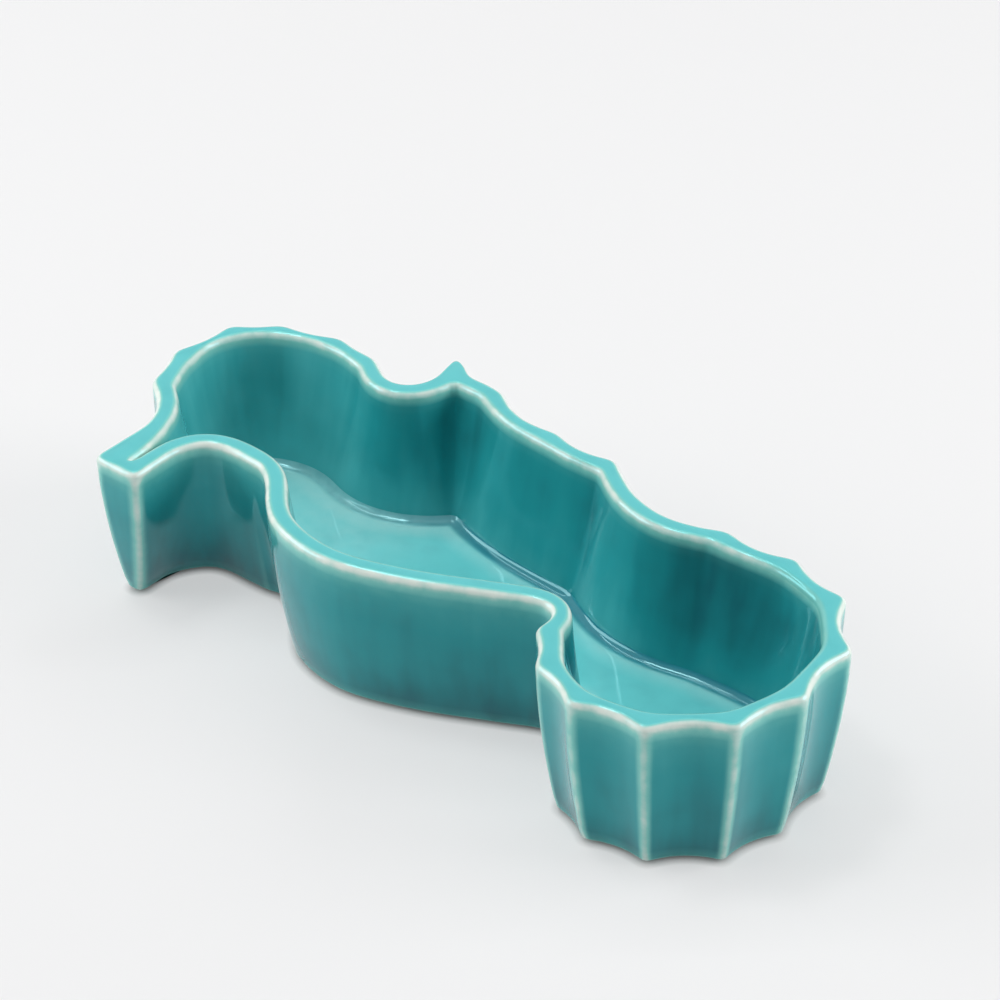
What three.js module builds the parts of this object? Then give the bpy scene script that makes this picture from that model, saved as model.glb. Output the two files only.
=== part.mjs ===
// A glazed ceramic dish in the outline of a seahorse, whose tail curls into a fluted cup.
// Millimetres, +Z up. The origin is on the table, under the middle of the dish.
// The head is towards -X, the tail towards +X and the belly towards -Y.
import * as THREE from 'three';

// Heights, from the table up
const DISH_HEIGHT = 40.5;
const FOOT_HEIGHT = 0.8;
const FLOOR_THICKNESS = 7.4;
const LEDGE_DEPTH = 1.6;
const POOL_RISE = 1.3;
const POOL_DIP = 0.4;

// The wall: its thickness at the rim, its rounded edges, and how far its faces lean in towards the foot
const RIM_THICKNESS = 5.2;
const RIM_ROUND = 1.5;
const BASE_ROUND = 0.8;
const OUTER_LEAN = 5;
const SNOUT_LEAN = 6.8;
const THROAT_LEAN = 3.8;
const FOREHEAD_LEAN = 2.5;
const INNER_LEAN = 7;

// Power of the curve that each face of the wall leans on: 1 is straight, and more bulges it out above
const OUTER_CURVE = 1.7;
const INNER_CURVE = 1.4;

// The foot ring, the pool of glaze round the floor, and the seam left at each joint
const FOOT_INSET = 1;
const FOOT_WIDTH = 10;
const POOL_WIDTH = 4.2;
const SEAM = 0.3;

// Radius of the hollow flutes between two ridges
const TAIL_FLUTE_RADIUS = 19;
const BACK_FLUTE_RADIUS = 19;
const CREST_FLUTE_RADIUS = 30;

// The rim's outline seen from above, counter-clockwise, as [x, y]
const SNOUT_TOP = [-80.5, -43.94];
const SNOUT_CHIN = [-66.8, -43.5];
const CHIN = [[-67.6, -34], [-67.6, -28]];
const THROAT = [[-64.5, -22.3], [-57.5, -20.7]];
const THROAT_RIDGE = [-51.9, -21.1];
const CHEST = [[-49.8, -20.8], [-46, -22.8], [-42.4, -25.9], [-38, -30.4], [-31, -35.4]];
const BELLY = [[-20, -38.4], [-8, -37.9], [8, -32.1], [24, -23.8], [34.2, -18.8]];
const NOTCH = [[38.7, -19.7], [40, -23.4]];
const TAIL_RIDGES = [
  [39.6, -27.2], [48.5, -37.6], [62.8, -43.3], [80.9, -39.9], [95.5, -26.2],
  [99.9, -8.1], [96.9, 12.1], [83.8, 27.1], [66.4, 31.6], [48.2, 29.9],
];
const SADDLE = [[41, 26.6], [33, 25.1], [24, 26.9], [16.5, 31]];
const BACK_RIDGES = [[10.5, 35.3], [-7, 35.1], [-27.5, 39.6]];
const SHOULDER = [[-33.5, 40.1]];
const FIN_FRONT = [[-39, 39.9], [-42.5, 42.3]];
const FIN_TIP = [-46.8, 44];
const FIN_BACK = [[-45.8, 39]];
const FIN_ROOT = [-44.5, 39.6];
const NAPE = [[-44.6, 33.6], [-45.8, 28.9], [-49, 26.2], [-52.7, 26], [-56.5, 28]];
const CREST_RIDGES = [[-61, 30.9], [-73.5, 32.3], [-88.6, 27.3], [-98.2, 18.3], [-99.9, 1.2], [-94.3, -11.9]];
const FOREHEAD = [[-88.5, -15.5], [-84.2, -20], [-81.6, -25.5], [-81, -33]];

// Sampling: distance between points, bands of faces up each side of the wall, passes that soften the inside,
// and the room that a point needs to move in
const STEP = 3;
const BANDS = 3;
const SOFT_PASSES = 2;
const ROOM = 1.25;

const first = (list) => list[0];
const last = (list) => list[list.length - 1];
const wrap = (list, i) => list[(i + list.length) % list.length];

// Unit vector to the left of a step, which on a counter-clockwise outline points inwards
function leftOf(from, to) {
  const along = to.clone().sub(from).normalize();
  return new THREE.Vector2(-along.y, along.x);
}

// Points of the outline, each with the lean of the wall from there to the next point
function knots(points, lean = OUTER_LEAN) {
  return points.map(([x, y]) => ({ at: new THREE.Vector2(x, y), lean }));
}

// The outline in stretches, smooth or fluted from ridge to ridge, with the given points at the dorsal fin
function outline(finFront, finTip, finBack) {
  const throat = knots([...THROAT, THROAT_RIDGE], THROAT_LEAN);
  return [
    { points: knots([SNOUT_TOP, SNOUT_CHIN], SNOUT_LEAN) },
    { points: [...knots([SNOUT_CHIN, ...CHIN], SNOUT_LEAN), ...throat] },
    { points: knots([THROAT_RIDGE, ...CHEST, ...BELLY, ...NOTCH, first(TAIL_RIDGES)]) },
    { points: knots(TAIL_RIDGES), fluteRadius: TAIL_FLUTE_RADIUS },
    { points: knots([last(TAIL_RIDGES), ...SADDLE, first(BACK_RIDGES)]) },
    { points: knots(BACK_RIDGES), fluteRadius: BACK_FLUTE_RADIUS },
    { points: knots([last(BACK_RIDGES), ...SHOULDER, ...finFront, finTip]) },
    { points: knots([finTip, ...finBack, ...NAPE, first(CREST_RIDGES)]) },
    { points: knots(CREST_RIDGES), fluteRadius: CREST_FLUTE_RADIUS },
    { points: knots([last(CREST_RIDGES), ...FOREHEAD, SNOUT_TOP], FOREHEAD_LEAN) },
  ];
}

// The outline with each face moved in by its lean, so that corners stay mitred
function leanedIn(stretches) {
  const corners = stretches.flatMap(({ points }) => points.slice(0, -1));
  const moved = corners.map(({ at, lean }, i) => {
    const before = wrap(corners, i - 1);
    const inBefore = leftOf(before.at, at);
    const inAfter = leftOf(at, wrap(corners, i + 1).at);
    const mitre = 1 + inBefore.dot(inAfter);
    const shift = inBefore.multiplyScalar(before.lean / mitre).addScaledVector(inAfter, lean / mitre);
    return { at: at.clone().add(shift), lean };
  });
  let start = 0;
  return stretches.map((stretch) => {
    const points = stretch.points.map((_, i) => wrap(moved, start + i));
    start += points.length - 1;
    return { ...stretch, points };
  });
}

// The curves of one stretch. A flute is as deep as an arc of its radius between the two ridges.
function curvesOf({ points, fluteRadius }) {
  const places = points.map(({ at }) => at);
  if (!fluteRadius) return [new THREE.SplineCurve(places)];
  return places.slice(1).map((end, i) => {
    const start = places[i];
    const depth = start.distanceToSquared(end) / (8 * fluteRadius);
    const pull = start.clone().lerp(end, 0.5).addScaledVector(leftOf(start, end), 2 * depth);
    return new THREE.QuadraticBezierCurve(start, pull, end);
  });
}

// The fin stands out at the rim and dies away towards the foot
const rimOutline = outline(FIN_FRONT, FIN_TIP, FIN_BACK);
const plainOutline = outline([], FIN_ROOT, []);
const pieceCounts = rimOutline.flatMap(curvesOf).map((curve) => Math.round(curve.getLength() / STEP));

// A closed loop of points along an outline, with as many points on each curve as the rim has there
function loopOf(stretches) {
  const curves = stretches.flatMap(curvesOf);
  return curves.flatMap((curve, i) => curve.getSpacedPoints(pieceCounts[i]).slice(0, -1));
}

function softened(loop, passes) {
  let soft = loop;
  for (let pass = 0; pass < passes; pass += 1) {
    const old = soft;
    soft = old.map((point, i) => wrap(old, i - 1).clone().lerp(wrap(old, i + 1), 0.5).lerp(point, 0.5));
  }
  return soft;
}

// The loop moved inwards. Points with no room for that are spread along a straight run
// between the nearest points on either side that have it.
function inset(loop, distance) {
  const reach = 2 * ROOM * distance;
  const moved = loop.map((point, i) => {
    const inward = leftOf(wrap(loop, i - 1), wrap(loop, i + 1));
    const hasRoom = loop.every((other) => {
      const gap = other.clone().sub(point);
      return reach * gap.dot(inward) <= gap.lengthSq();
    });
    return hasRoom ? point.clone().addScaledVector(inward, distance) : null;
  });
  return moved.map((point, i) => {
    if (point) return point;
    let before = 1;
    while (!wrap(moved, i - before)) before += 1;
    let after = 1;
    while (!wrap(moved, i + after)) after += 1;
    return wrap(moved, i - before).clone().lerp(wrap(moved, i + after), before / (before + after));
  });
}

// Each point of a loop moved a distance, or a share of the way, towards its partner
function towards(loop, partners, distance) {
  return loop.map((point, i) => point.clone().add(partners[i].clone().sub(point).setLength(distance)));
}

function between(loop, partners, share) {
  return loop.map((point, i) => point.clone().lerp(partners[i], share));
}

function atHeight(loop, z) {
  return loop.map(({ x, y }) => new THREE.Vector3(x, y, z));
}

// Triangles that join each loop to the next, facing out where the loops go up the outside
function sideFaces(loops, closed) {
  const count = first(loops).length;
  const bands = closed ? loops.length : loops.length - 1;
  const faces = [];
  for (let band = 0; band < bands; band += 1) {
    const low = band * count;
    const high = ((band + 1) % loops.length) * count;
    for (let i = 0; i < count; i += 1) {
      const next = (i + 1) % count;
      faces.push(low + i, low + next, high + next);
      faces.push(low + i, high + next, high + i);
    }
  }
  return faces;
}

// Triangles that fill a flat loop, facing up
function capFaces(loop, start) {
  const flat = loop.map(({ x, y }) => new THREE.Vector2(x, y));
  return THREE.ShapeUtils.triangulateShape(flat, []).flatMap(([a, b, c]) => {
    const turn = flat[b].clone().sub(flat[a]).cross(flat[c].clone().sub(flat[a]));
    return turn > 0 ? [start + a, start + b, start + c] : [start + a, start + c, start + b];
  });
}

function solid(loops, faces) {
  const geometry = new THREE.BufferGeometry().setFromPoints(loops.flat());
  geometry.setIndex(faces);
  geometry.computeVertexNormals();
  return geometry;
}

// A ring whose section runs up the outside, over the top and down the inside
function ringSolid(loops) {
  return solid(loops, sideFaces(loops, true));
}

// A plate whose loops run from its underside to its top
function plateSolid(loops) {
  const top = (loops.length - 1) * first(loops).length;
  const underside = capFaces(first(loops), 0).reverse();
  return solid(loops, [...sideFaces(loops, false), ...underside, ...capFaces(last(loops), top)]);
}

const FLOOR_TOP = FOOT_HEIGHT + FLOOR_THICKNESS;
const rimOutside = loopOf(rimOutline);
const footOutside = loopOf(leanedIn(plainOutline));
const rimInside = softened(inset(softened(loopOf(plainOutline), SOFT_PASSES), RIM_THICKNESS), 1);
const floorEdge = softened(inset(rimInside, INNER_LEAN), SOFT_PASSES);

// The outer and inner face of the wall at a height above the table
function outsideAt(z) {
  const share = (DISH_HEIGHT - z) / (DISH_HEIGHT - FOOT_HEIGHT);
  return between(rimOutside, footOutside, share ** OUTER_CURVE);
}

function insideAt(z) {
  const share = (DISH_HEIGHT - z) / (DISH_HEIGHT - FLOOR_TOP);
  return between(rimInside, floorEdge, share ** INNER_CURVE);
}

function evenHeights(from, to) {
  return Array.from({ length: BANDS + 1 }, (_, i) => from + ((to - from) * i) / BANDS);
}

function wall() {
  const rimEdge = DISH_HEIGHT - RIM_ROUND;
  const roundedIn = RIM_ROUND * (1 - Math.SQRT1_2);
  const baseEdge = FOOT_HEIGHT + BASE_ROUND;
  return ringSolid([
    atHeight(inset(footOutside, BASE_ROUND), FOOT_HEIGHT),
    ...evenHeights(baseEdge, rimEdge).map((z) => atHeight(outsideAt(z), z)),
    atHeight(towards(rimOutside, rimInside, roundedIn), DISH_HEIGHT - roundedIn),
    atHeight(towards(rimOutside, rimInside, RIM_ROUND), DISH_HEIGHT),
    atHeight(towards(rimInside, rimOutside, RIM_ROUND), DISH_HEIGHT),
    atHeight(towards(rimInside, rimOutside, roundedIn), DISH_HEIGHT - roundedIn),
    ...evenHeights(rimEdge, FLOOR_TOP).map((z) => atHeight(insideAt(z), z)),
    atHeight(floorEdge, FOOT_HEIGHT),
  ]);
}

// The floor, with a ledge round its edge for the glaze to pool on
const LEDGE_TOP = FLOOR_TOP - LEDGE_DEPTH;
const slabEdge = inset(floorEdge, SEAM);
const poolInside = inset(slabEdge, POOL_WIDTH);

function floorSlab() {
  const step = inset(poolInside, SEAM);
  return plateSolid([
    atHeight(slabEdge, FOOT_HEIGHT),
    atHeight(slabEdge, LEDGE_TOP),
    atHeight(step, LEDGE_TOP),
    atHeight(step, FLOOR_TOP),
  ]);
}

function footRing() {
  const outer = inset(footOutside, FOOT_INSET);
  const inner = inset(outer, FOOT_WIDTH);
  return ringSolid([
    atHeight(outer, 0),
    atHeight(outer, FOOT_HEIGHT),
    atHeight(inner, FOOT_HEIGHT),
    atHeight(inner, 0),
  ]);
}

// The glaze that ran down the wall fills the ledge and stands up in a hollow curve at the wall
function glazePool() {
  const poolTop = FLOOR_TOP + POOL_RISE;
  return ringSolid([
    atHeight(slabEdge, LEDGE_TOP),
    atHeight(slabEdge, FLOOR_TOP),
    atHeight(inset(insideAt(poolTop), SEAM), poolTop),
    atHeight(inset(slabEdge, POOL_WIDTH / 2), FLOOR_TOP - POOL_DIP),
    atHeight(poolInside, FLOOR_TOP),
    atHeight(poolInside, LEDGE_TOP),
  ]);
}

const glaze = new THREE.MeshStandardMaterial({ color: 0x4fb0ae, roughness: 0.12, metalness: 0 });
const pooledGlaze = new THREE.MeshStandardMaterial({ color: 0x3c9fb0, roughness: 0.06, metalness: 0 });
const glazedClay = new THREE.MeshStandardMaterial({ color: 0x69c8c4, roughness: 0.2, metalness: 0 });
const bareClay = new THREE.MeshStandardMaterial({ color: 0xe4dccb, roughness: 0.85, metalness: 0 });

const dish = new THREE.Group();
function addPiece(name, geometry, material) {
  const mesh = new THREE.Mesh(geometry, material);
  mesh.name = name;
  dish.add(mesh);
}

addPiece('wall', wall(), glaze);
addPiece('floor_slab', floorSlab(), glazedClay);
addPiece('foot_ring', footRing(), bareClay);
addPiece('glaze_pool', glazePool(), pooledGlaze);

export default dish;
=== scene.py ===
"""A glazed ceramic dish in the outline of a seahorse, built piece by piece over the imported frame."""

import math
from collections import namedtuple

import bmesh
import bpy
import numpy as np
from bpy.props import FloatProperty, FloatVectorProperty, PointerProperty
from bpy.types import Operator, Panel, PropertyGroup
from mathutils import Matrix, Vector
from mathutils.kdtree import KDTree


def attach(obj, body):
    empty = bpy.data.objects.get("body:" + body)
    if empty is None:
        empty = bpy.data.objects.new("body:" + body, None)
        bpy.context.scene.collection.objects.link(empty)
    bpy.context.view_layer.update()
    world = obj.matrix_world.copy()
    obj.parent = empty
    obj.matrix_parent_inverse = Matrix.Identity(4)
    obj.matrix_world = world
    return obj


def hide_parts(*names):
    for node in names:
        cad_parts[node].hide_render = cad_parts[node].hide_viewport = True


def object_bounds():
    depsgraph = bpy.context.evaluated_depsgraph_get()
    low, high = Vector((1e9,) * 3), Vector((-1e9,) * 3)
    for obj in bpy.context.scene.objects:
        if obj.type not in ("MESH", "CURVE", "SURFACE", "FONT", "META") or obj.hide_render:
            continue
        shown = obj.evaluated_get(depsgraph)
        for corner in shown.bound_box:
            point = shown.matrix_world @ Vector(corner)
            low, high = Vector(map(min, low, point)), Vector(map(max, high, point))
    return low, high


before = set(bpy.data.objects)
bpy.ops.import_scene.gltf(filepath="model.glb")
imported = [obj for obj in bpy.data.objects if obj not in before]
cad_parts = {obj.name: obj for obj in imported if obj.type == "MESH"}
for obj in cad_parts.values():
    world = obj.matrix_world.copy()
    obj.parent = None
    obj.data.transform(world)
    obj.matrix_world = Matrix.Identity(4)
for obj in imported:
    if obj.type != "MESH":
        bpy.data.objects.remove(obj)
CAD_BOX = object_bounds()

bl_info = {
    "name": "Seahorse Dish",
    "version": (1, 0, 0),
    "blender": (4, 5, 0),
    "location": "View3D > Sidebar > Dish",
    "description": "Builds a glazed dish in the outline of a seahorse, with a pale stage",
    "category": "Object",
}

MM = 0.001

# The rim's outline from above, counter-clockwise from the end of the snout, in millimetres
SNOUT_TOP = (-80.5, -43.94)
SNOUT_CHIN = (-66.8, -43.5)
CHIN = [(-67.6, -34), (-67.6, -28)]
THROAT = [(-64.5, -22.3), (-57.5, -20.7)]
THROAT_RIDGE = (-51.9, -21.1)
CHEST = [(-49.8, -20.8), (-46, -22.8), (-42.4, -25.9), (-38, -30.4), (-31, -35.4)]
BELLY = [(-20, -38.4), (-8, -37.9), (8, -32.1), (24, -23.8), (34.2, -18.8)]
NOTCH = [(38.7, -19.7), (40, -23.4)]
TAIL_RIDGES = [
    (39.6, -27.2), (48.5, -37.6), (62.8, -43.3), (80.9, -39.9), (95.5, -26.2),
    (99.9, -8.1), (96.9, 12.1), (83.8, 27.1), (66.4, 31.6), (48.2, 29.9),
]
SADDLE = [(41, 26.6), (33, 25.1), (24, 26.9), (16.5, 31)]
BACK_RIDGES = [(10.5, 35.3), (-7, 35.1), (-27.5, 39.6)]
SHOULDER = [(-33.5, 40.1)]
FIN_FRONT = [(-39, 39.9), (-42.5, 42.3)]
FIN_TIP = (-46.8, 44)
FIN_BACK = [(-45.8, 39)]
FIN_ROOT = (-44.5, 39.6)
NAPE = [(-44.6, 33.6), (-45.8, 28.9), (-49, 26.2), (-52.7, 26), (-56.5, 28)]
CREST_RIDGES = [(-61, 30.9), (-73.5, 32.3), (-88.6, 27.3), (-98.2, 18.3), (-99.9, 1.2), (-94.3, -11.9)]
FOREHEAD = [(-88.5, -15.5), (-84.2, -20), (-81.6, -25.5), (-81, -33)]

# Radius of the hollow flutes between two ridges, in millimetres
TAIL_FLUTE = 19.2
BACK_FLUTE = 19
CREST_FLUTE = 30

# Stretches in millimetres over which a change comes in. The head's and crest's count against x, the slot's against y
CREST_ALONG = (55, 70)
CREST_ACROSS = (0, 12)
CREST_WALL = (45, 75)
HEAD_FLOOR = (15, 55)
CUP_WALL = (15, 45)
CUP_WALL_ENDS = (48, 82)
CUP_RIM = (45, 80)

# How far the flutes are smoothed out inside, and how much thinner the rim is round the crest
SMOOTHED = {TAIL_FLUTE * MM: 0.85, BACK_FLUTE * MM: 0.6, CREST_FLUTE * MM: 1}
CREST_THINNER = 0.22

# Spacing of the points along the rim, dense steps of a curve, the room that an inset point needs in shares of its
# distance, and how much of that room counts as enough
SPACING = 0.0005
DENSE = 60
ROOM = 1.25
ENOUGH = 0.98

# Rings up each face of the wall and round its lower edge, steps round each edge of the rim, points merged at the flat
# ends of a plate, how upright the normal of a flat face is, and the angle from which an edge is sharp
FACE_RINGS = 15
BASE_RINGS = 5
EDGE_STEPS = 7
CAP_GROUP = 8
FLAT = 0.9999
SHARP = math.radians(50)

# Power of the curve that each face of the wall leans on: 1 is straight, and more bulges it out above
OUTER_CURVE = 1.7
INNER_CURVE = 1.4

# How far the glaze covers the clay, from 0 to 1, and how deep its colour is, from 0 as on the rim to 1 as on the
# walls and more at the foot, both by depth under the rim in millimetres. The darker foot of the outer wall is partly
# deeper glaze and partly painted shade
OUTER_COVER = [
    (1.6, 0.32), (2.5, 0.62), (3.8, 0.8), (5.1, 0.88), (7.8, 0.94), (14, 1), (38.6, 1), (39.1, 0.62),
]
OUTER_DEPTH = [(1.6, 0.85), (8, 0.95), (18, 1.02), (28, 1.12), (36, 1.32), (38.6, 1.3), (39.1, 1)]
INNER_COVER = [(1.6, 0.42), (2.1, 0.68), (2.7, 0.85), (3.6, 0.93), (6, 1)]
INNER_DEPTH = [(1.6, 0.86), (5, 1), (12, 1.03), (22, 0.86), (31, 0.48)]

# What is added to the depth inside the head, where less depth is painted light on the inner wall, inside the tail cup
# and in hollow bends
CREST_PAINTED_LIGHT = -0.72
CUP_DEPTH = 0.34
HOLLOW_DEPTH = 0.12

# Cover round each edge of the rim, by angle in degrees from the wall to the top, how much fuller it is on the inner
# edge and there in the tail cup, the cover on a ridge, and the depth that fades out up to an angle
EDGE_COVER = [(0, 0.32), (18, 0.1), (36, 0), (52, 0.04), (66, 0.3), (78, 0.68), (90, 0.95)]
INNER_EDGE = 0.12
CUP_EDGE = 0.4
RIDGE_COVER = 0.06
EDGE_DEPTH = 0.9
EDGE_DEPTH_ENDS = math.radians(60)

# Bend of the outline, per metre, at which the glaze starts to draw off a ridge and by which it goes on, and how far
# bends are smoothed inside
BEND_STARTS = 40
BEND_ON = 330
BEND_SOFT = SPACING * 4

# The slot that runs into the snout: its near side, the stretch over which it narrows and the side that the snout lies
# on, in millimetres, and how much paler it is
SLOT_SIDE = -72.8
SLOT_NARROWS = (20, 40)
SNOUT_SIDE = -60
SLOT_PALE = 0.15

# The glazed floor from the wall inwards: distance from the wall and height over the floor in millimetres, cover and
# depth. The pool's first ring lies in the wall, by a share of the wall's lean
POOL_IN_WALL = 0.03
POOL_SECTION = [
    (-0.25, 1.4, 1, 1), (0.02, 0.85, 1, 1), (0.22, 0.48, 1, 1), (0.45, 0.18, 1, 1), (0.75, -0.05, 1, 1),
    (1.1, -0.2, 1, 0.95), (1.5, -0.29, 1, 0.85), (1.9, -0.32, 1, 0.75), (2.3, -0.3, 0.96, 0.55),
    (2.7, -0.22, 0.88, 0.32),
]
FLOOR_SECTION = [
    (2.7, -0.22, 0.88, 0.32), (3.0, -0.13, 0.78, 0.18), (3.4, -0.05, 0.71, 0.1), (3.9, -0.01, 0.73, 0.04),
    (4.5, 0, 0.77, 0), (5.6, 0, 0.83, 0), (7, 0, 0.92, 0), (8.4, 0, 1, 0),
]

# How much paler the floor is in the head, which is a painted highlight
HEAD_HIGHLIGHT = 0.3

# The gloss seen straight on takes a little of the glaze's colour, most of all on the walls
WALL_GLOSS = (0.24, 0.88, 1)
FLOOR_GLOSS = (0.5, 0.95, 1)

# Strength of the runs in each glaze
WALL_RUNS = 0.6
FLOOR_RUNS = 0.5
POOL_RUNS = 0.2

# Depths between which the deeper colours come in, and covers between which thin glaze and then full glaze do
DEEPER = (("Deep", -0.1, 1), ("Darkest", 0.9, 1.6))
THIN_COVER = (-0.05, 0.55)
FULL_COVER = (0.4, 1.1)

Ring = namedtuple("Ring", "loop z cover depth", defaults=(1, 1))
Stretch = namedtuple("Stretch", "points leans flute")


class DishSizes(PropertyGroup):
    """Sizes of the dish"""
    height: FloatProperty(
        name="Height", description="From the table to the top of the rim",
        default=CAD_BOX[1][2], unit="LENGTH")
    foot_height: FloatProperty(
        name="Foot height", description="How far the foot ring lifts the wall", default=0.0008, unit="LENGTH")
    floor_height: FloatProperty(
        name="Floor height", description="From the table to the floor inside", default=0.0082, unit="LENGTH")
    rim_thickness: FloatProperty(
        name="Rim thickness", description="Thickness of the wall at the rim", default=0.0052, unit="LENGTH")
    rim_round: FloatProperty(
        name="Rim rounding", description="Radius of the rim's two edges", default=0.0016, unit="LENGTH")
    base_round: FloatProperty(
        name="Base rounding", description="Radius of the wall's lower edge", default=0.0009, unit="LENGTH")
    outer_lean: FloatProperty(
        name="Outer lean", description="How far the outside leans in to the foot",
        default=0.005, unit="LENGTH")
    snout_lean: FloatProperty(
        name="Snout lean", description="Lean of the snout's end and chin", default=0.0068, unit="LENGTH")
    throat_lean: FloatProperty(
        name="Throat lean", description="Lean of the throat", default=0.0038, unit="LENGTH")
    forehead_lean: FloatProperty(
        name="Forehead lean", description="Lean of the forehead", default=0.0008, unit="LENGTH")
    inner_lean: FloatProperty(
        name="Inner lean", description="How far the inside leans in to the floor",
        default=0.007, unit="LENGTH")
    ridge_round: FloatProperty(
        name="Ridge rounding", description="How far the ridges are rounded off",
        default=0.0012, unit="LENGTH")
    rim_ridge_round: FloatProperty(
        name="Ridge rounding at the rim", description="How far the rim's corners are rounded off",
        default=0.0017, unit="LENGTH")
    flute_round: FloatProperty(
        name="Flute smoothing", description="How far the flutes are smoothed out inside",
        default=0.0105, unit="LENGTH")
    snout_round: FloatProperty(
        name="Snout rounding", description="How far the snout is rounded off at its foot",
        default=0.0026, unit="LENGTH")
    inner_round: FloatProperty(
        name="Inner rounding", description="How far the inside is smoothed", default=0.0034, unit="LENGTH")
    floor_round: FloatProperty(
        name="Floor edge rounding", description="How far the floor's edge is smoothed",
        default=0.0052, unit="LENGTH")
    foot_inset: FloatProperty(
        name="Foot inset", description="From the wall's lower edge to the foot ring",
        default=0.0022, unit="LENGTH")
    foot_width: FloatProperty(
        name="Foot width", description="Width of the foot ring", default=0.01, unit="LENGTH")


class DishColours(PropertyGroup):
    """Colours of the glaze and the clay"""
    clay: FloatVectorProperty(
        name="Clay", description="Where the glaze has drawn off", subtype="COLOR", default=(0.78, 0.83, 0.76))
    thin: FloatVectorProperty(
        name="Thin glaze", description="Beside rims and ridges", subtype="COLOR", default=(0.22, 0.58, 0.52))
    rim: FloatVectorProperty(
        name="Rim glaze", description="On top of the rim", subtype="COLOR", default=(0.1, 0.5, 0.52))
    floor: FloatVectorProperty(
        name="Floor glaze", description="On the floor inside", subtype="COLOR", default=(0.17, 0.75, 0.765))
    # The pale colour also carries the painted highlight on the floor in the head
    pale: FloatVectorProperty(
        name="Pale ring", description="Where the floor's glaze ran off into the pool", subtype="COLOR",
        default=(0.42, 0.85, 0.84))
    deep: FloatVectorProperty(
        name="Deep glaze", description="On the walls", subtype="COLOR", default=(0.008, 0.265, 0.29))
    # At the foot of the outer wall this darkest colour is partly deeper glaze and partly painted shade
    darkest: FloatVectorProperty(
        name="Darkest glaze", description="At the foot of the walls", subtype="COLOR",
        default=(0.002, 0.1, 0.125))
    pooled: FloatVectorProperty(
        name="Pooled glaze", description="Round the floor", subtype="COLOR", default=(0.01, 0.21, 0.28))
    foot: FloatVectorProperty(
        name="Foot", description="Bare clay underneath", subtype="COLOR", default=(0.4, 0.39, 0.34))
    table: FloatVectorProperty(
        name="Table", description="The pale floor of the stage", subtype="COLOR", default=(0.85, 0.85, 0.855))


def pointed(points):
    """Points in millimetres as complex numbers x + iy in metres, which turn and add easily"""
    return [complex(x, y) * MM for x, y in points]


def stretch(points, lean, flute=None):
    return Stretch(pointed(points), [lean] * len(points), flute and flute * MM)


def joined(*stretches):
    points = [point for part in stretches for point in part.points]
    leans = [lean for part in stretches for lean in part.leans]
    return Stretch(points, leans, None)


def outline(sizes, with_fin):
    """The outline in stretches, smooth or fluted from ridge to ridge"""
    front, tip, back = (FIN_FRONT, FIN_TIP, FIN_BACK) if with_fin else ([], FIN_ROOT, [])
    lean = sizes.outer_lean
    return [
        stretch([SNOUT_TOP, SNOUT_CHIN], sizes.snout_lean),
        joined(
            stretch([SNOUT_CHIN, *CHIN], sizes.snout_lean),
            stretch([*THROAT, THROAT_RIDGE], sizes.throat_lean)),
        stretch([THROAT_RIDGE, *CHEST, *BELLY, *NOTCH, TAIL_RIDGES[0]], lean),
        stretch(TAIL_RIDGES, lean, TAIL_FLUTE),
        stretch([TAIL_RIDGES[-1], *SADDLE, BACK_RIDGES[0]], lean),
        stretch(BACK_RIDGES, lean, BACK_FLUTE),
        stretch([BACK_RIDGES[-1], *SHOULDER, *front, tip], lean),
        stretch([tip, *back, *NAPE, CREST_RIDGES[0]], lean),
        stretch(CREST_RIDGES, lean, CREST_FLUTE),
        stretch([CREST_RIDGES[-1], *FOREHEAD, SNOUT_TOP], sizes.forehead_lean),
    ]


def left_of(step):
    """Unit vector to the left, which on a counter-clockwise outline points inwards"""
    return 1j * step / abs(step)


def leaned_in(stretches):
    """The outline with each face moved in by its lean, so that corners stay mitred"""
    points = [point for part in stretches for point in part.points[:-1]]
    leans = [lean for part in stretches for lean in part.leans[:-1]]
    moved = []
    for i, point in enumerate(points):
        before = left_of(point - points[i - 1])
        after = left_of(points[(i + 1) % len(points)] - point)
        mitre = 1 + (before * after.conjugate()).real
        moved.append(point + (before * leans[i - 1] + after * leans[i]) / mitre)
    start = 0
    result = []
    for part in stretches:
        places = [moved[(start + i) % len(moved)] for i in range(len(part.points))]
        start += len(places) - 1
        result.append(part._replace(points=places))
    return result


def spline(points):
    """Dense points on a smooth curve through the points"""
    spread = [points[0], *points, points[-1]]
    t = np.linspace(0, 1, DENSE, endpoint=False)
    parts = []
    for before, start, end, after in zip(spread, spread[1:], spread[2:], spread[3:]):
        leave = (end - before) / 2
        arrive = (after - start) / 2
        parts.append(
            start * (2 * t**3 - 3 * t**2 + 1) + leave * (t**3 - 2 * t**2 + t)
            + end * (3 * t**2 - 2 * t**3) + arrive * (t**3 - t**2))
    return np.append(np.concatenate(parts), points[-1])


def hollow(start, end, radius):
    """Dense points on one flute, as deep as an arc of the radius between two ridges"""
    depth = abs(end - start) ** 2 / (8 * radius)
    pull = (start + end) / 2 + left_of(end - start) * 2 * depth
    t = np.linspace(0, 1, DENSE)
    return start * (1 - t) ** 2 + pull * 2 * t * (1 - t) + end * t**2


def curves_of(part):
    if part.flute is None:
        return [spline(part.points)]
    return [hollow(a, b, part.flute) for a, b in zip(part.points, part.points[1:])]


def lengths_along(curve):
    return np.concatenate([[0], np.cumsum(abs(np.diff(curve)))])


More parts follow.
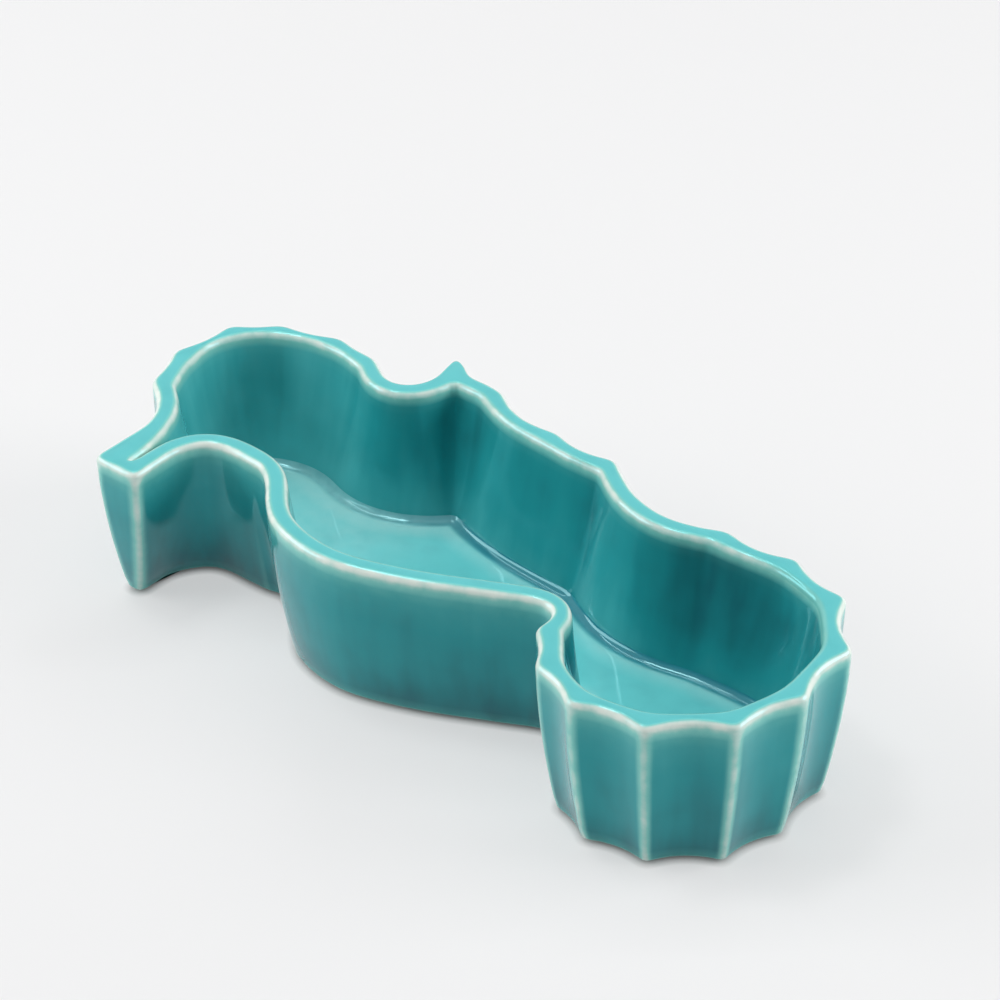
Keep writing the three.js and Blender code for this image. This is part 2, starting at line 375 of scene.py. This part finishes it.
def loop_of(stretches, counts):
    """A closed loop with a given number of evenly spread points on each curve"""
    parts = []
    curves = [curve for part in stretches for curve in curves_of(part)]
    for curve, count in zip(curves, counts):
        along = lengths_along(curve)
        at = np.linspace(0, along[-1], count, endpoint=False)
        parts.append(np.interp(at, along, curve.real) + 1j * np.interp(at, along, curve.imag))
    return np.concatenate(parts)


def softened(loop, reach):
    """A loop, or values along it, with the corners rounded off over about the given distance"""
    for _ in range(round(2 * (reach / SPACING) ** 2)):
        loop = loop / 2 + (np.roll(loop, 1) + np.roll(loop, -1)) / 4
    return loop


def evened(loop, reach):
    """The loop with its waves taken out, and its wide bends kept"""
    soft = softened(loop, reach)
    return soft + softened(loop - soft, reach)


def within(loop, points):
    """Which of the points lie inside the loop"""
    ahead = np.roll(loop, -1)
    return np.array([abs(np.angle((ahead - point) / (loop - point)).sum()) > math.pi for point in points])


def inset(loop, distance):
    """The loop moved inwards, with a straight run wherever there is no room for that"""
    inward = left_of(np.roll(loop, -1) - np.roll(loop, 1))
    tree = KDTree(len(loop))
    for i, point in enumerate(loop):
        tree.insert((point.real, point.imag, 0), i)
    tree.balance()
    room = ROOM * distance
    centres = loop + room * inward
    free = [tree.find((centre.real, centre.imag, 0))[2] > ENOUGH * room for centre in centres]
    places = np.flatnonzero(free & within(loop, centres))
    moved = (loop + distance * inward)[places]
    every = np.arange(len(loop))
    across = np.interp(every, places, moved.real, period=len(loop))
    return across + 1j * np.interp(every, places, moved.imag, period=len(loop))


def into_snout(loop):
    """How far into the snout each point lies, from 0 to 1"""
    return reached(-loop.imag, SLOT_NARROWS) * (loop.real < SNOUT_SIDE * MM)


def squeezed(loop):
    """The inside of the rim with its slot into the snout drawn out to a point"""
    return loop + np.maximum(SLOT_SIDE * MM - loop.real, 0) * into_snout(loop)


def bend(loop):
    """How sharply the loop turns outwards at each point, per metre"""
    before = loop - np.roll(loop, 1)
    after = np.roll(loop, -1) - loop
    return np.angle(after / before) / ((abs(before) + abs(after)) / 2)


def eased(values, low, high):
    share = np.clip((values - low) / (high - low), 0, 1)
    return share * share * (3 - 2 * share)


def reached(values, limits):
    """How far each of the values, in metres, has come between two limits in millimetres, from 0 to 1"""
    low, high = limits
    return eased(values, low * MM, high * MM)


class Form:
    """The loops that all the pieces share"""

    def __init__(self, sizes):
        self.sizes = sizes
        rim = outline(sizes, True)
        plain = outline(sizes, False)
        counts = [round(lengths_along(curve)[-1] / SPACING) for part in rim for curve in curves_of(part)]
        self.rim = softened(loop_of(rim, counts), sizes.rim_ridge_round)
        foot = softened(loop_of(leaned_in(plain), counts), sizes.ridge_round)
        self.foot = foot + (softened(foot, sizes.snout_round) - foot) * into_snout(foot)
        fluted = [SMOOTHED.get(part.flute, 0) for part in plain for _ in curves_of(part)]
        fluted = softened(np.repeat(np.array(fluted, float), counts), sizes.inner_round)
        smooth = evened(loop_of(plain, counts), sizes.inner_round)
        smooth = smooth + (evened(smooth, sizes.flute_round) - smooth) * fluted
        rim_inside = softened(inset(smooth, sizes.rim_thickness), sizes.inner_round / 2)
        crest = reached(-smooth.real, CREST_ALONG) * reached(smooth.imag, CREST_ACROSS)
        self.rim_inside = squeezed(rim_inside + (smooth - rim_inside) * CREST_THINNER * crest)
        self.floor_edge = softened(inset(self.rim_inside, sizes.inner_lean), sizes.floor_round)

    def outside(self, z):
        share = (self.sizes.height - z) / (self.sizes.height - self.sizes.foot_height)
        return self.rim + (self.foot - self.rim) * share**OUTER_CURVE

    def inside(self, z):
        share = (self.sizes.height - z) / (self.sizes.height - self.sizes.floor_height)
        return self.rim_inside + (self.floor_edge - self.rim_inside) * min(share, 1) ** INNER_CURVE


def looked_up(table, value):
    return float(np.interp(value, [row[0] for row in table], [row[1] for row in table]))


def outer_glaze(loop, z, under):
    """A ring of the outside, with the glaze drawn off its ridges"""
    cover = looked_up(OUTER_COVER, under / MM)
    ridge = 1 - np.exp(-np.maximum(bend(loop) - BEND_STARTS, 0) / BEND_ON)
    cover = cover + (min(RIDGE_COVER, cover) - cover) * ridge
    return Ring(loop, z, cover, looked_up(OUTER_DEPTH, under / MM))


def inner_glaze(loop, z, under):
    """A ring of the inside, with the glaze deeper in hollow bends and in the tail cup, and paler in the head, which
    is painted light
    """
    turn = softened(bend(loop), BEND_SOFT)
    depth = looked_up(INNER_DEPTH, under / MM) + HOLLOW_DEPTH * np.clip(turn / BEND_STARTS, -1, 1)
    cup = reached(loop.real, CUP_WALL) - reached(loop.real, CUP_WALL_ENDS)
    # Less depth on the head's inner wall is painted light
    depth = depth + CUP_DEPTH * cup + CREST_PAINTED_LIGHT * reached(-loop.real, CREST_WALL)
    pale = SLOT_PALE * into_snout(loop)
    return Ring(loop, z, looked_up(INNER_COVER, under / MM) - pale, depth - pale)


def wall_rings(form):
    """Rings from the inner lower edge, up the outside, over the rim and down the inside"""
    sizes = form.sizes
    top, foot_top = sizes.height, sizes.foot_height
    rings = []
    for angle in np.linspace(0, math.pi / 2, BASE_RINGS):
        lower = foot_top + sizes.base_round * (1 - math.sin(angle))
        loop = inset(form.foot, sizes.base_round * (1 - math.cos(angle))) if angle else form.foot
        rings.insert(0, outer_glaze(form.foot, lower, top - lower)._replace(loop=loop))
    rim_edge = top - sizes.rim_round
    for z in np.linspace(foot_top + sizes.base_round, rim_edge, FACE_RINGS + 1)[1:]:
        rings.append(outer_glaze(form.outside(z), z, top - z))
    across = form.rim_inside - form.rim
    across = across / abs(across)
    crest = []
    for angle in np.linspace(0, math.pi / 2, EDGE_STEPS + 1)[1:]:
        inwards = sizes.rim_round * (1 - math.cos(angle))
        z = rim_edge + sizes.rim_round * math.sin(angle)
        depth = EDGE_DEPTH * (1 - eased(angle, 0, EDGE_DEPTH_ENDS))
        crest.append((inwards, z, looked_up(EDGE_COVER, math.degrees(angle)), depth))
    rings += [Ring(form.rim + across * inwards, *rest) for inwards, *rest in crest]
    rings.append(Ring((form.rim + form.rim_inside) / 2, top, 1, 0))
    fuller = INNER_EDGE + CUP_EDGE * reached(form.rim_inside.real, CUP_RIM)
    for inwards, z, cover, depth in reversed(crest):
        rings.append(Ring(form.rim_inside - across * inwards, z, cover + fuller * (1 - cover), depth))
    for z in np.linspace(rim_edge, sizes.floor_height, FACE_RINGS + 1):
        rings.append(inner_glaze(form.inside(z), z, top - z))
    rings.append(Ring(form.floor_edge, foot_top))
    return rings


def section_rings(form, section):
    """Rings of the glazed floor, from the wall inwards"""
    sizes = form.sizes
    rings = []
    for inwards, rise, cover, depth in section:
        z = sizes.floor_height + rise * MM
        edge = form.inside(z)
        loop = inset(edge, inwards * MM) if inwards > 0 else edge + (form.rim_inside - edge) * POOL_IN_WALL
        # Paler floor in the head: a painted highlight
        rings.append(Ring(loop, z, cover - HEAD_HIGHLIGHT * reached(-loop.real, HEAD_FLOOR), depth))
    return rings


def grown(bm, edges):
    """Extrudes a ring of edges and gives the new ring's edges and vertices"""
    made = bmesh.ops.extrude_edge_only(bm, edges=edges)["geom"]
    verts = {item for item in made if isinstance(item, bmesh.types.BMVert)}
    ring = [item for item in made if isinstance(item, bmesh.types.BMEdge) and verts.issuperset(item.verts)]
    return ring, verts


def lay(verts, ring, place, glaze):
    """Moves the vertices of one ring onto their places along its loop, with the glaze that lies there"""
    cover = np.broadcast_to(ring.cover, len(ring.loop))
    depth = np.broadcast_to(ring.depth, len(ring.loop))
    for vert in verts:
        i = vert[place]
        vert.co = (ring.loop[i].real, ring.loop[i].imag, ring.z)
        vert[glaze] = (cover[i], depth[i], 0)


def thinned(bm, place, ring):
    """Merges the vertices of a plate's innermost ring in groups, so that its flat end fills cleanly"""
    keep = {vert[place]: vert for vert in ring if vert[place] % CAP_GROUP == 0}
    target = {vert: keep[vert[place] - vert[place] % CAP_GROUP] for vert in ring if vert[place] % CAP_GROUP}
    bmesh.ops.weld_verts(bm, targetmap=target)


def ringed_mesh(name, rings, plate):
    """A closed mesh through the rings: a plate with flat ends, or a ring that closes on itself"""
    bm = bmesh.new()
    place = bm.verts.layers.int.new("place")
    glaze = bm.verts.layers.float_vector.new("glaze")
    bmesh.ops.create_circle(bm, segments=len(rings[0].loop), radius=1, cap_ends=False)
    for i, vert in enumerate(bm.verts):
        vert[place] = i
    start = list(bm.verts)
    edges = list(bm.edges)
    lay(start, rings[0], place, glaze)
    for ring in rings[1:]:
        edges, verts = grown(bm, edges)
        lay(verts, ring, place, glaze)
    if plate:
        thinned(bm, place, start)
        thinned(bm, place, verts)
        open_edges = [edge for edge in bm.edges if edge.is_boundary]
        ends = bmesh.ops.holes_fill(bm, edges=open_edges, sides=0)["faces"]
        bmesh.ops.triangulate(bm, faces=ends, ngon_method="EAR_CLIP")
    else:
        edges, verts = grown(bm, edges)
        lay(verts, rings[0], place, glaze)
        bmesh.ops.remove_doubles(bm, verts=start + list(verts), dist=SPACING * 1e-4)
    bmesh.ops.recalc_face_normals(bm, faces=bm.faces)
    if any(not edge.is_manifold for edge in bm.edges):
        raise RuntimeError(f"{name} isn't closed")
    for face in bm.faces:
        face.smooth = not plate or abs(face.normal.z) < FLAT
    mesh = bpy.data.meshes.new(name)
    bm.to_mesh(mesh)
    bm.free()
    mesh.set_sharp_from_angle(angle=SHARP)
    return mesh


def placed(name, mesh, material, slot, *nodes):
    """Puts a piece in the scene, on the dish's one body, in place of its CAD nodes"""
    if not mesh.polygons:
        raise RuntimeError(f"{name} has no faces")
    piece = bpy.data.objects.new(name, mesh)
    piece.data.materials.append(material)
    bpy.context.scene.collection.objects.link(piece)
    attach(piece, "root")
    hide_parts(*nodes)
    return piece


def new_group(name, inputs, outputs):
    """A shader node group with named sockets, and its input and output nodes"""
    group = bpy.data.node_groups.new(name, "ShaderNodeTree")
    for label, kind in inputs:
        group.interface.new_socket(name=label, in_out="INPUT", socket_type=kind)
    for label, kind in outputs:
        group.interface.new_socket(name=label, in_out="OUTPUT", socket_type=kind)
    return group, group.nodes.new("NodeGroupInput"), group.nodes.new("NodeGroupOutput")


def math_node(tree, operation, first, second):
    """A Math node whose two inputs are sockets or plain numbers; gives its output"""
    node = tree.nodes.new("ShaderNodeMath")
    node.operation = operation
    for socket, value in zip(node.inputs, (first, second)):
        if isinstance(value, bpy.types.NodeSocket):
            tree.links.new(value, socket)
        else:
            socket.default_value = value
    return node.outputs[0]


def ranged(tree, value, low, high, to_low=0.0, to_high=1.0):
    node = tree.nodes.new("ShaderNodeMapRange")
    node.interpolation_type = "SMOOTHSTEP"
    tree.links.new(value, node.inputs["Value"])
    node.inputs["From Min"].default_value = low
    node.inputs["From Max"].default_value = high
    node.inputs["To Min"].default_value = to_low
    node.inputs["To Max"].default_value = to_high
    return node.outputs["Result"]


def mixed(tree, share, first, second):
    node = tree.nodes.new("ShaderNodeMix")
    node.data_type = "RGBA"
    tree.links.new(share, node.inputs["Factor"])
    tree.links.new(first, node.inputs["A"])
    tree.links.new(second, node.inputs["B"])
    return node.outputs["Result"]


def noise(tree, scale, detail, stretch_z=1.0):
    """Noise on the dish's own coordinates, drawn out up the wall where stretch_z is under 1"""
    coords = tree.nodes.new("ShaderNodeTexCoord")
    mapping = tree.nodes.new("ShaderNodeMapping")
    mapping.inputs["Scale"].default_value = (1, 1, stretch_z)
    node = tree.nodes.new("ShaderNodeTexNoise")
    node.inputs["Scale"].default_value = scale
    node.inputs["Detail"].default_value = detail
    tree.links.new(coords.outputs["Object"], mapping.inputs["Vector"])
    tree.links.new(mapping.outputs["Vector"], node.inputs["Vector"])
    return node.outputs["Fac"]


def tint_group():
    """Colour of the glaze: turquoise, teal where it is deeper, and the clay where it is drawn off"""
    name = "Glaze tint"
    if name in bpy.data.node_groups:
        return bpy.data.node_groups[name]
    colours = ["Clay", "Thin", "Even", "Deep", "Darkest"]
    inputs = [("Cover", "NodeSocketFloat"), ("Depth", "NodeSocketFloat")]
    inputs += [(label, "NodeSocketColor") for label in colours]
    group, start, end = new_group(name, inputs, [("Color", "NodeSocketColor")])
    colour = start.outputs["Even"]
    for label, low, high in DEEPER:
        share = ranged(group, start.outputs["Depth"], low, high)
        colour = mixed(group, share, colour, start.outputs[label])
    cover = start.outputs["Cover"]
    bare = mixed(group, ranged(group, cover, *THIN_COVER), start.outputs["Clay"], start.outputs["Thin"])
    group.links.new(mixed(group, ranged(group, cover, *FULL_COVER), bare, colour), end.inputs["Color"])
    return group


def flow_group():
    """Runs and clouds in the glaze, and the soft waves and pinholes of its surface"""
    name = "Glaze flow"
    if name in bpy.data.node_groups:
        return bpy.data.node_groups[name]
    labels = ("Cover", "Depth", "Roughness", "Height")
    inputs = [(label, "NodeSocketFloat") for label in ("Cover", "Depth", "Runs")]
    group, start, end = new_group(name, inputs, [(label, "NodeSocketFloat") for label in labels])
    runs = math_node(group, "SUBTRACT", noise(group, 150, 2, 0.1), 0.5)
    clouds = math_node(group, "SUBTRACT", noise(group, 55, 2), 0.5)
    change = math_node(group, "MULTIPLY", math_node(group, "ADD", runs, clouds), start.outputs["Runs"])
    group.links.new(math_node(group, "ADD", start.outputs["Depth"], change), end.inputs["Depth"])
    bare = math_node(group, "SUBTRACT", 1, start.outputs["Cover"])
    patches = math_node(group, "SUBTRACT", noise(group, 260, 3), 0.45)
    drawn = math_node(group, "MULTIPLY", math_node(group, "MULTIPLY", bare, patches), 0.7)
    group.links.new(math_node(group, "ADD", start.outputs["Cover"], drawn), end.inputs["Cover"])

    coords = group.nodes.new("ShaderNodeTexCoord")
    cells = group.nodes.new("ShaderNodeTexVoronoi")
    cells.inputs["Scale"].default_value = 75
    group.links.new(coords.outputs["Object"], cells.inputs["Vector"])
    pick = group.nodes.new("ShaderNodeSeparateColor")
    group.links.new(cells.outputs["Color"], pick.inputs["Color"])
    rare = math_node(group, "GREATER_THAN", pick.outputs["Red"], 0.7)
    pit = math_node(group, "MULTIPLY", ranged(group, cells.outputs["Distance"], 0.045, 0.02), rare)
    waves = math_node(group, "MULTIPLY", noise(group, 90, 1), 0.5)
    group.links.new(math_node(group, "SUBTRACT", waves, pit), end.inputs["Height"])
    group.links.new(ranged(group, noise(group, 320, 2), 0.3, 0.7, 0.03, 0.075), end.inputs["Roughness"])
    return group


def glazed(name, clay, thin, even, deep, darkest, runs, gloss):
    """A glossy glaze whose colour follows the cover and depth kept on the piece"""
    if name in bpy.data.materials:
        return bpy.data.materials[name]
    material = bpy.data.materials.new(name)
    material.use_nodes = True
    tree = material.node_tree
    shader = tree.nodes["Principled BSDF"]
    shader.inputs["IOR"].default_value = 1.6
    shader.inputs["Specular Tint"].default_value = (*gloss, 1)
    glaze = tree.nodes.new("ShaderNodeAttribute")
    glaze.attribute_name = "glaze"
    parts = tree.nodes.new("ShaderNodeSeparateXYZ")
    flow = tree.nodes.new("ShaderNodeGroup")
    flow.node_tree = flow_group()
    flow.inputs["Runs"].default_value = runs
    tint = tree.nodes.new("ShaderNodeGroup")
    tint.node_tree = tint_group()
    tints = {"Clay": clay, "Thin": thin, "Even": even, "Deep": deep, "Darkest": darkest}
    for label, colour in tints.items():
        tint.inputs[label].default_value = (*colour, 1)
    bump = tree.nodes.new("ShaderNodeBump")
    bump.inputs["Strength"].default_value = 0.25
    bump.inputs["Distance"].default_value = 0.0004
    tree.links.new(glaze.outputs["Vector"], parts.inputs["Vector"])
    for label, part in (("Cover", "X"), ("Depth", "Y")):
        tree.links.new(parts.outputs[part], flow.inputs[label])
        tree.links.new(flow.outputs[label], tint.inputs[label])
    tree.links.new(tint.outputs["Color"], shader.inputs["Base Color"])
    tree.links.new(flow.outputs["Roughness"], shader.inputs["Roughness"])
    tree.links.new(flow.outputs["Height"], bump.inputs["Height"])
    tree.links.new(bump.outputs["Normal"], shader.inputs["Normal"])
    return material


def bare_clay(colours):
    """Fired clay without glaze: matt, with fine grog and soft stains"""
    material = bpy.data.materials.new("bare clay")
    material.use_nodes = True
    tree = material.node_tree
    shader = tree.nodes["Principled BSDF"]
    shader.inputs["Roughness"].default_value = 0.9
    shader.inputs["Specular IOR Level"].default_value = 0.25
    ramp = tree.nodes.new("ShaderNodeValToRGB")
    ramp.color_ramp.elements[0].position = 0.3
    ramp.color_ramp.elements[1].position = 0.7
    ramp.color_ramp.elements[0].color = (*(value * 0.82 for value in colours.foot), 1)
    ramp.color_ramp.elements[1].color = (*colours.foot, 1)
    tree.links.new(noise(tree, 160, 4), ramp.inputs["Fac"])
    bump = tree.nodes.new("ShaderNodeBump")
    bump.inputs["Strength"].default_value = 0.4
    bump.inputs["Distance"].default_value = 0.0003
    tree.links.new(noise(tree, 2600, 3), bump.inputs["Height"])
    tree.links.new(ramp.outputs["Color"], shader.inputs["Base Color"])
    tree.links.new(bump.outputs["Normal"], shader.inputs["Normal"])
    return material


class DISH_OT_wall(Operator):
    """Build the standing wall with its rim and flutes"""
    bl_idname = "dish.wall"
    bl_label = "Wall"

    def execute(self, context):
        colours = context.scene.dish_colours
        mesh = ringed_mesh("glazed_wall", wall_rings(Form(context.scene.dish_sizes)), plate=False)
        tints = (colours.clay, colours.thin, colours.rim, colours.deep, colours.darkest)
        material = glazed("wall glaze", *tints, runs=WALL_RUNS, gloss=WALL_GLOSS)
        placed("glazed_wall", mesh, material, "glaze", "wall")
        return {"FINISHED"}


class DISH_OT_floor(Operator):
    """Build the floor, whose edge is rounded down to the pool of glaze"""
    bl_idname = "dish.floor"
    bl_label = "Floor"

    def execute(self, context):
        sizes, colours = context.scene.dish_sizes, context.scene.dish_colours
        top = section_rings(Form(sizes), FLOOR_SECTION)
        under = top[0]._replace(z=sizes.foot_height)
        rings = [under._replace(loop=top[-1].loop), under, *top]
        mesh = ringed_mesh("glazed_floor", rings, plate=True)
        tints = (colours.pale, colours.pale, colours.floor, colours.pooled, colours.deep)
        material = glazed("floor glaze", *tints, runs=FLOOR_RUNS, gloss=FLOOR_GLOSS)
        placed("glazed_floor", mesh, material, "floor_glaze", "floor_slab")
        return {"FINISHED"}


class DISH_OT_pool(Operator):
    """Build the ring of glaze that pooled between the wall and the floor"""
    bl_idname = "dish.pool"
    bl_label = "Pooled glaze"

    def execute(self, context):
        sizes, colours = context.scene.dish_sizes, context.scene.dish_colours
        top = section_rings(Form(sizes), POOL_SECTION)
        low = sizes.foot_height
        rings = [top[0]._replace(z=low), *top, top[-1]._replace(z=low)]
        mesh = ringed_mesh("pooled_glaze", rings, plate=False)
        tints = (colours.pale, colours.pale, colours.floor, colours.pooled, colours.deep)
        material = glazed("pooled glaze", *tints, runs=POOL_RUNS, gloss=FLOOR_GLOSS)
        placed("pooled_glaze", mesh, material, "pooled_glaze", "glaze_pool")
        return {"FINISHED"}


class DISH_OT_foot(Operator):
    """Build the bare ring that the dish stands on"""
    bl_idname = "dish.foot"
    bl_label = "Foot ring"

    def execute(self, context):
        sizes = context.scene.dish_sizes
        outer = inset(Form(sizes).foot, sizes.foot_inset)
        inner = inset(outer, sizes.foot_width)
        ease = sizes.foot_height / 3
        inwards = (inner - outer) / abs(inner - outer)
        rings = [
            Ring(outer + inwards * ease, 0, 0), Ring(outer, ease, 0), Ring(outer, sizes.foot_height, 0),
            Ring(inner, sizes.foot_height, 0), Ring(inner, ease, 0), Ring(inner - inwards * ease, 0, 0),
        ]
        mesh = ringed_mesh("bare_foot", rings, plate=False)
        placed("bare_foot", mesh, bare_clay(context.scene.dish_colours), "bare_clay", "foot_ring")
        return {"FINISHED"}


# The stage: where the camera stands and what it looks at, its lens, and the lights, in metres and watts
CAMERA_AT = (0.4763, -0.5315, 0.5234)
CAMERA_TARGET = (-0.0379, 0.0496, 0)
CAMERA_LENS = 137.484
TABLE_SIZE = 8
LAMPS = {
    "overhead": {"at": (-0.1, 0.15, 1.3), "size": (1.2, 1.2), "power": 2.4},
    "key": {"at": (-0.36, -0.12, 1.14), "size": (0.24, 0.24), "power": 2.4},
    "left_softbox": {"at": (-0.78, -0.555, 0.5), "size": (0.7, 0.5), "power": 6.0},
    "right_softbox": {"at": (0.72, 0.62, 0.5), "size": (0.7, 0.5), "power": 6.8},
    "strip": {"at": (-0.35, 0.35, 0.95), "size": (1.6, 0.04), "power": 2.4},
}
ROOM_LIGHT = 0.28
ROOM_SEEN = 0.92

# Share of the pale table that is seen at its own colour, however the light falls, so that shadows on it stay soft,
# and how far the dark line at the foot of the dish reaches on it
TABLE_PALE = 0.6
CONTACT_SHADOW = 0.002


def pale_rays(tree):
    """1 for rays that show a thing to the camera, straight or by gloss or glass, and 0 for those that light"""
    rays = tree.nodes.new("ShaderNodeLightPath")
    seen = math_node(tree, "ADD", rays.outputs["Is Camera Ray"], rays.outputs["Is Glossy Ray"])
    seen = math_node(tree, "ADD", seen, rays.outputs["Is Transmission Ray"])
    return math_node(tree, "MINIMUM", seen, 1)


def aimed(at, target):
    """Turn of a lamp or camera that looks from one place to another"""
    return (Vector(target) - Vector(at)).to_track_quat("-Z", "Y").to_euler()


def add_lamp(name, at, size, power):
    data = bpy.data.lights.new(name, "AREA")
    data.shape = "RECTANGLE"
    data.size, data.size_y = size
    data.energy = power
    lamp = bpy.data.objects.new(name, data)
    lamp.location = at
    lamp.rotation_euler = aimed(at, (0, 0, 0))
    bpy.context.scene.collection.objects.link(lamp)


def add_table(colour):
    bm = bmesh.new()
    bmesh.ops.create_grid(bm, x_segments=1, y_segments=1, size=TABLE_SIZE / 2)
    mesh = bpy.data.meshes.new("table")
    bm.to_mesh(mesh)
    bm.free()
    material = bpy.data.materials.new("pale table")
    material.use_nodes = True
    tree = material.node_tree
    shader = tree.nodes["Principled BSDF"]
    shader.inputs["Base Color"].default_value = (*colour, 1)
    shader.inputs["Roughness"].default_value = 0.75
    shader.inputs["Specular IOR Level"].default_value = 0.2
    pale = tree.nodes.new("ShaderNodeEmission")
    pale.inputs["Color"].default_value = (*colour, 1)
    contact = tree.nodes.new("ShaderNodeAmbientOcclusion")
    contact.samples = 8
    contact.inputs["Distance"].default_value = CONTACT_SHADOW
    tree.links.new(contact.outputs["AO"], pale.inputs["Strength"])
    blend = tree.nodes.new("ShaderNodeMixShader")
    tree.links.new(math_node(tree, "MULTIPLY", pale_rays(tree), TABLE_PALE), blend.inputs["Fac"])
    tree.links.new(shader.outputs["BSDF"], blend.inputs[1])
    tree.links.new(pale.outputs["Emission"], blend.inputs[2])
    tree.links.new(blend.outputs["Shader"], tree.nodes["Material Output"].inputs["Surface"])
    mesh.materials.append(material)
    table = bpy.data.objects.new("table", mesh)
    bpy.context.scene.collection.objects.link(table)


def add_room():
    """A pale room that the glaze mirrors, and that gives only a little light of its own"""
    world = bpy.data.worlds.new("pale room")
    world.use_nodes = True
    tree = world.node_tree
    background = tree.nodes["Background"]
    background.inputs["Color"].default_value = (1, 1, 1, 1)
    seen = math_node(tree, "MULTIPLY", pale_rays(tree), ROOM_SEEN - ROOM_LIGHT)
    tree.links.new(math_node(tree, "ADD", seen, ROOM_LIGHT), background.inputs["Strength"])
    bpy.context.scene.world = world


class DISH_OT_stage(Operator):
    """Set up the pale table, the soft lights and the camera"""
    bl_idname = "dish.stage"
    bl_label = "Stage"

    def execute(self, context):
        scene = context.scene
        add_table(scene.dish_colours.table)
        add_room()
        for name, lamp in LAMPS.items():
            add_lamp(name, **lamp)
        data = bpy.data.cameras.new("camera")
        data.lens = CAMERA_LENS
        camera = bpy.data.objects.new("camera", data)
        camera.location = CAMERA_AT
        camera.rotation_euler = aimed(CAMERA_AT, CAMERA_TARGET)
        scene.collection.objects.link(camera)
        scene.camera = camera
        scene.view_settings.view_transform = "Standard"
        return {"FINISHED"}


class DISH_PT_pieces(Panel):
    """Lists the dish's pieces, sizes and colours"""
    bl_idname = "DISH_PT_pieces"
    bl_label = "Seahorse Dish"
    bl_space_type = "VIEW_3D"
    bl_region_type = "UI"
    bl_category = "Dish"

    def draw(self, context):
        for operator in PIECES:
            self.layout.operator(operator.bl_idname)
        for group in (context.scene.dish_sizes, context.scene.dish_colours):
            box = self.layout.box()
            for name in group.__annotations__:
                box.prop(group, name)


PIECES = (DISH_OT_wall, DISH_OT_floor, DISH_OT_pool, DISH_OT_foot, DISH_OT_stage)
CLASSES = (DishSizes, DishColours, *PIECES, DISH_PT_pieces)


def register():
    for item in CLASSES:
        bpy.utils.register_class(item)
    bpy.types.Scene.dish_sizes = PointerProperty(type=DishSizes)
    bpy.types.Scene.dish_colours = PointerProperty(type=DishColours)


def unregister():
    del bpy.types.Scene.dish_colours
    del bpy.types.Scene.dish_sizes
    for item in reversed(CLASSES):
        bpy.utils.unregister_class(item)


def main():
    register()
    bpy.ops.dish.wall()
    bpy.ops.dish.floor()
    bpy.ops.dish.pool()
    bpy.ops.dish.foot()
    bpy.ops.dish.stage()


if __name__ == "__main__":
    main()
